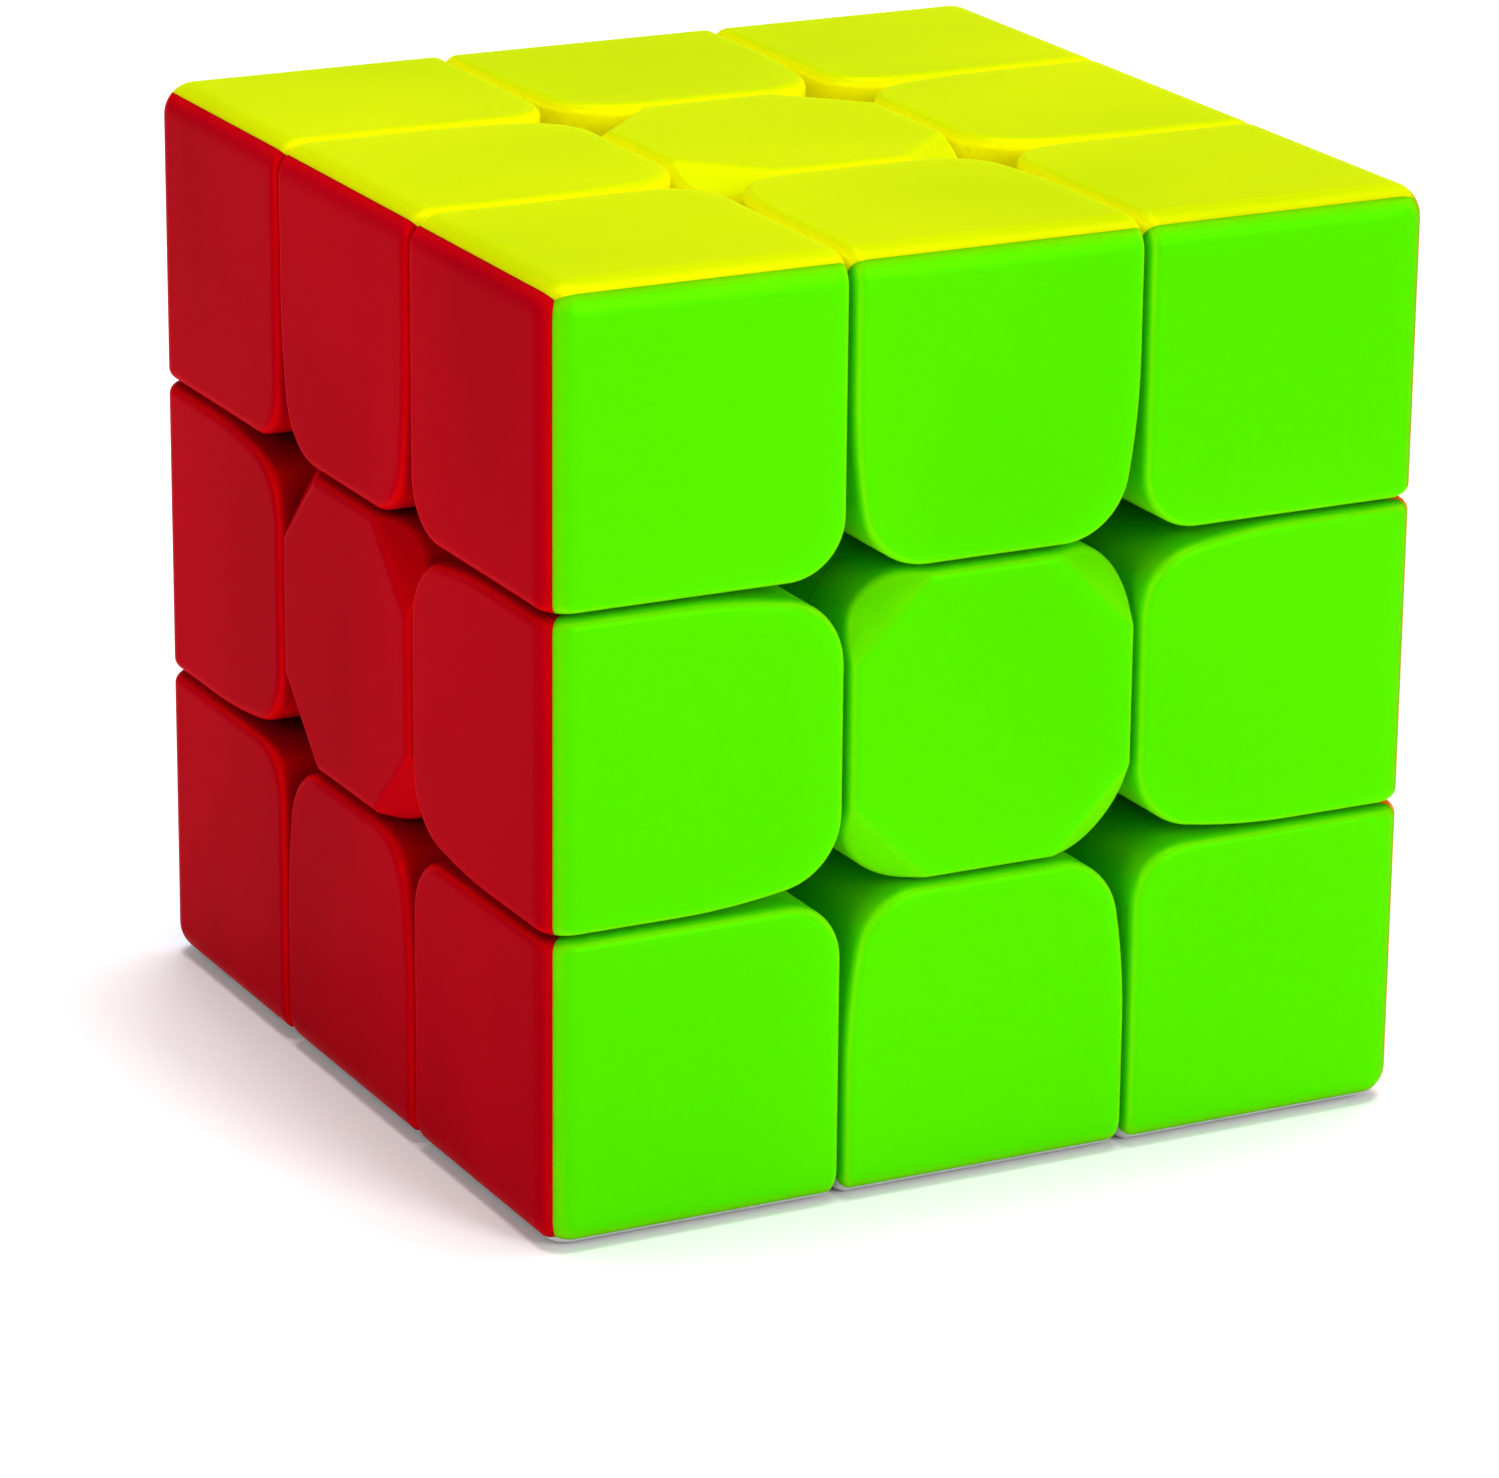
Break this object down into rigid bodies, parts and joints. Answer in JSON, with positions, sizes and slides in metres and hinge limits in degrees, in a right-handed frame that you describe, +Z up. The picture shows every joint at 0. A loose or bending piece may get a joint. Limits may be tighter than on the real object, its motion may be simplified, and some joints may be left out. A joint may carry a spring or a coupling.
{
  "type": "twisty puzzle cube",
  "caption": "Three-by-three twisty puzzle cube with rounded, stickerless coloured tiles and turning faces.",
  "frame": {"origin": "centre of the cube", "axes": "+Z up through the up centre, front face towards -Y, right face towards +X"},
  "size_m": [0.056, 0.056, 0.056],
  "materials": {
    "yellow_plastic": "satin-gloss moulded ABS, coloured through",
    "white_plastic": "satin-gloss moulded ABS, coloured through",
    "green_plastic": "satin-gloss moulded ABS, coloured through",
    "blue_plastic": "satin-gloss moulded ABS, coloured through",
    "red_plastic": "satin-gloss moulded ABS, coloured through",
    "orange_plastic": "satin-gloss moulded ABS, coloured through",
    "core_plastic": "natural moulded nylon",
    "steel": "bright zinc"
  },
  "bodies": {
    "core": {"core": "core_plastic", "tension_screws": "steel", "washers": "steel", "springs": "steel"},
    "centre_up": {"centre_up_yellow": "yellow_plastic"},
    "centre_down": {"centre_down_white": "white_plastic"},
    "centre_front": {"centre_front_green": "green_plastic"},
    "centre_back": {"centre_back_blue": "blue_plastic"},
    "centre_left": {"centre_left_red": "red_plastic"},
    "centre_right": {"centre_right_orange": "orange_plastic"},
    "edge_up_front": {"edge_up_front_green_shell": "green_plastic", "edge_up_front_yellow_shell": "yellow_plastic"},
    "edge_up_back": {"edge_up_back_blue_shell": "blue_plastic", "edge_up_back_yellow_shell": "yellow_plastic"},
    "edge_down_front": {"edge_down_front_green_shell": "green_plastic", "edge_down_front_white_shell": "white_plastic"},
    "edge_down_back": {"edge_down_back_blue_shell": "blue_plastic", "edge_down_back_white_shell": "white_plastic"},
    "edge_up_left": {"edge_up_left_red_shell": "red_plastic", "edge_up_left_yellow_shell": "yellow_plastic"},
    "edge_down_left": {"edge_down_left_red_shell": "red_plastic", "edge_down_left_white_shell": "white_plastic"},
    "edge_up_right": {"edge_up_right_orange_shell": "orange_plastic", "edge_up_right_yellow_shell": "yellow_plastic"},
    "edge_down_right": {"edge_down_right_orange_shell": "orange_plastic", "edge_down_right_white_shell": "white_plastic"},
    "edge_front_left": {"edge_front_left_green_shell": "green_plastic", "edge_front_left_red_shell": "red_plastic"},
    "edge_front_right": {"edge_front_right_green_shell": "green_plastic", "edge_front_right_orange_shell": "orange_plastic"},
    "edge_back_left": {"edge_back_left_blue_shell": "blue_plastic", "edge_back_left_red_shell": "red_plastic"},
    "edge_back_right": {"edge_back_right_blue_shell": "blue_plastic", "edge_back_right_orange_shell": "orange_plastic"},
    "corner_up_front_left": {"corner_up_front_left_green_shell": "green_plastic", "corner_up_front_left_red_shell": "red_plastic", "corner_up_front_left_yellow_shell": "yellow_plastic"},
    "corner_up_front_right": {"corner_up_front_right_green_shell": "green_plastic", "corner_up_front_right_orange_shell": "orange_plastic", "corner_up_front_right_yellow_shell": "yellow_plastic"},
    "corner_up_back_left": {"corner_up_back_left_blue_shell": "blue_plastic", "corner_up_back_left_red_shell": "red_plastic", "corner_up_back_left_yellow_shell": "yellow_plastic"},
    "corner_up_back_right": {"corner_up_back_right_blue_shell": "blue_plastic", "corner_up_back_right_orange_shell": "orange_plastic", "corner_up_back_right_yellow_shell": "yellow_plastic"},
    "corner_down_front_left": {"corner_down_front_left_green_shell": "green_plastic", "corner_down_front_left_red_shell": "red_plastic", "corner_down_front_left_white_shell": "white_plastic"},
    "corner_down_front_right": {"corner_down_front_right_green_shell": "green_plastic", "corner_down_front_right_orange_shell": "orange_plastic", "corner_down_front_right_white_shell": "white_plastic"},
    "corner_down_back_left": {"corner_down_back_left_blue_shell": "blue_plastic", "corner_down_back_left_red_shell": "red_plastic", "corner_down_back_left_white_shell": "white_plastic"},
    "corner_down_back_right": {"corner_down_back_right_blue_shell": "blue_plastic", "corner_down_back_right_orange_shell": "orange_plastic", "corner_down_back_right_white_shell": "white_plastic"}
  },
  "joints": [
    {"name": "up_face_turn", "type": "hinge", "parent": "core", "child": "centre_up", "pos_m": [0, 0, 0], "axis": [0, 0, 1], "continuous": true},
    {"name": "down_face_turn", "type": "hinge", "parent": "core", "child": "centre_down", "pos_m": [0, 0, 0], "axis": [0, 0, 1], "continuous": true},
    {"name": "front_face_turn", "type": "hinge", "parent": "core", "child": "centre_front", "pos_m": [0, 0, 0], "axis": [0, 1, 0], "continuous": true},
    {"name": "back_face_turn", "type": "hinge", "parent": "core", "child": "centre_back", "pos_m": [0, 0, 0], "axis": [0, 1, 0], "continuous": true},
    {"name": "left_face_turn", "type": "hinge", "parent": "core", "child": "centre_left", "pos_m": [0, 0, 0], "axis": [1, 0, 0], "continuous": true},
    {"name": "right_face_turn", "type": "hinge", "parent": "core", "child": "centre_right", "pos_m": [0, 0, 0], "axis": [1, 0, 0], "continuous": true},
    {"name": "edge_up_front_front_turn", "type": "hinge", "parent": "centre_up", "child": "edge_up_front", "pos_m": [0, 0, 0], "axis": [0, 1, 0], "continuous": true},
    {"name": "edge_up_back_back_turn", "type": "hinge", "parent": "centre_up", "child": "edge_up_back", "pos_m": [0, 0, 0], "axis": [0, 1, 0], "continuous": true},
    {"name": "edge_down_front_front_turn", "type": "hinge", "parent": "centre_down", "child": "edge_down_front", "pos_m": [0, 0, 0], "axis": [0, 1, 0], "continuous": true},
    {"name": "edge_down_back_back_turn", "type": "hinge", "parent": "centre_down", "child": "edge_down_back", "pos_m": [0, 0, 0], "axis": [0, 1, 0], "continuous": true},
    {"name": "edge_up_left_up_turn", "type": "hinge", "parent": "centre_left", "child": "edge_up_left", "pos_m": [0, 0, 0], "axis": [0, 0, 1], "continuous": true},
    {"name": "edge_down_left_down_turn", "type": "hinge", "parent": "centre_left", "child": "edge_down_left", "pos_m": [0, 0, 0], "axis": [0, 0, 1], "continuous": true},
    {"name": "edge_up_right_up_turn", "type": "hinge", "parent": "centre_right", "child": "edge_up_right", "pos_m": [0, 0, 0], "axis": [0, 0, 1], "continuous": true},
    {"name": "edge_down_right_down_turn", "type": "hinge", "parent": "centre_right", "child": "edge_down_right", "pos_m": [0, 0, 0], "axis": [0, 0, 1], "continuous": true},
    {"name": "edge_front_left_left_turn", "type": "hinge", "parent": "centre_front", "child": "edge_front_left", "pos_m": [0, 0, 0], "axis": [1, 0, 0], "continuous": true},
    {"name": "edge_front_right_right_turn", "type": "hinge", "parent": "centre_front", "child": "edge_front_right", "pos_m": [0, 0, 0], "axis": [1, 0, 0], "continuous": true},
    {"name": "edge_back_left_left_turn", "type": "hinge", "parent": "centre_back", "child": "edge_back_left", "pos_m": [0, 0, 0], "axis": [1, 0, 0], "continuous": true},
    {"name": "edge_back_right_right_turn", "type": "hinge", "parent": "centre_back", "child": "edge_back_right", "pos_m": [0, 0, 0], "axis": [1, 0, 0], "continuous": true},
    {"name": "corner_up_front_left_left_turn", "type": "hinge", "parent": "edge_up_front", "child": "corner_up_front_left", "pos_m": [0, 0, 0], "axis": [1, 0, 0], "continuous": true},
    {"name": "corner_up_front_right_right_turn", "type": "hinge", "parent": "edge_up_front", "child": "corner_up_front_right", "pos_m": [0, 0, 0], "axis": [1, 0, 0], "continuous": true},
    {"name": "corner_up_back_left_left_turn", "type": "hinge", "parent": "edge_up_back", "child": "corner_up_back_left", "pos_m": [0, 0, 0], "axis": [1, 0, 0], "continuous": true},
    {"name": "corner_up_back_right_right_turn", "type": "hinge", "parent": "edge_up_back", "child": "corner_up_back_right", "pos_m": [0, 0, 0], "axis": [1, 0, 0], "continuous": true},
    {"name": "corner_down_front_left_left_turn", "type": "hinge", "parent": "edge_down_front", "child": "corner_down_front_left", "pos_m": [0, 0, 0], "axis": [1, 0, 0], "continuous": true},
    {"name": "corner_down_front_right_right_turn", "type": "hinge", "parent": "edge_down_front", "child": "corner_down_front_right", "pos_m": [0, 0, 0], "axis": [1, 0, 0], "continuous": true},
    {"name": "corner_down_back_left_left_turn", "type": "hinge", "parent": "edge_down_back", "child": "corner_down_back_left", "pos_m": [0, 0, 0], "axis": [1, 0, 0], "continuous": true},
    {"name": "corner_down_back_right_right_turn", "type": "hinge", "parent": "edge_down_back", "child": "corner_down_back_right", "pos_m": [0, 0, 0], "axis": [1, 0, 0], "continuous": true}
  ],
  "couplings": [
    {"joint": "edge_up_front_front_turn", "follows": "front_face_turn", "ratio": 1},
    {"joint": "edge_up_back_back_turn", "follows": "back_face_turn", "ratio": 1},
    {"joint": "edge_down_front_front_turn", "follows": "front_face_turn", "ratio": 1},
    {"joint": "edge_down_back_back_turn", "follows": "back_face_turn", "ratio": 1},
    {"joint": "edge_up_left_up_turn", "follows": "up_face_turn", "ratio": 1},
    {"joint": "edge_down_left_down_turn", "follows": "down_face_turn", "ratio": 1},
    {"joint": "edge_up_right_up_turn", "follows": "up_face_turn", "ratio": 1},
    {"joint": "edge_down_right_down_turn", "follows": "down_face_turn", "ratio": 1},
    {"joint": "edge_front_left_left_turn", "follows": "left_face_turn", "ratio": 1},
    {"joint": "edge_front_right_right_turn", "follows": "right_face_turn", "ratio": 1},
    {"joint": "edge_back_left_left_turn", "follows": "left_face_turn", "ratio": 1},
    {"joint": "edge_back_right_right_turn", "follows": "right_face_turn", "ratio": 1},
    {"joint": "corner_up_front_left_left_turn", "follows": "left_face_turn", "ratio": 1},
    {"joint": "corner_up_front_right_right_turn", "follows": "right_face_turn", "ratio": 1},
    {"joint": "corner_up_back_left_left_turn", "follows": "left_face_turn", "ratio": 1},
    {"joint": "corner_up_back_right_right_turn", "follows": "right_face_turn", "ratio": 1},
    {"joint": "corner_down_front_left_left_turn", "follows": "left_face_turn", "ratio": 1},
    {"joint": "corner_down_front_right_right_turn", "follows": "right_face_turn", "ratio": 1},
    {"joint": "corner_down_back_left_left_turn", "follows": "left_face_turn", "ratio": 1},
    {"joint": "corner_down_back_right_right_turn", "follows": "right_face_turn", "ratio": 1}
  ]
}
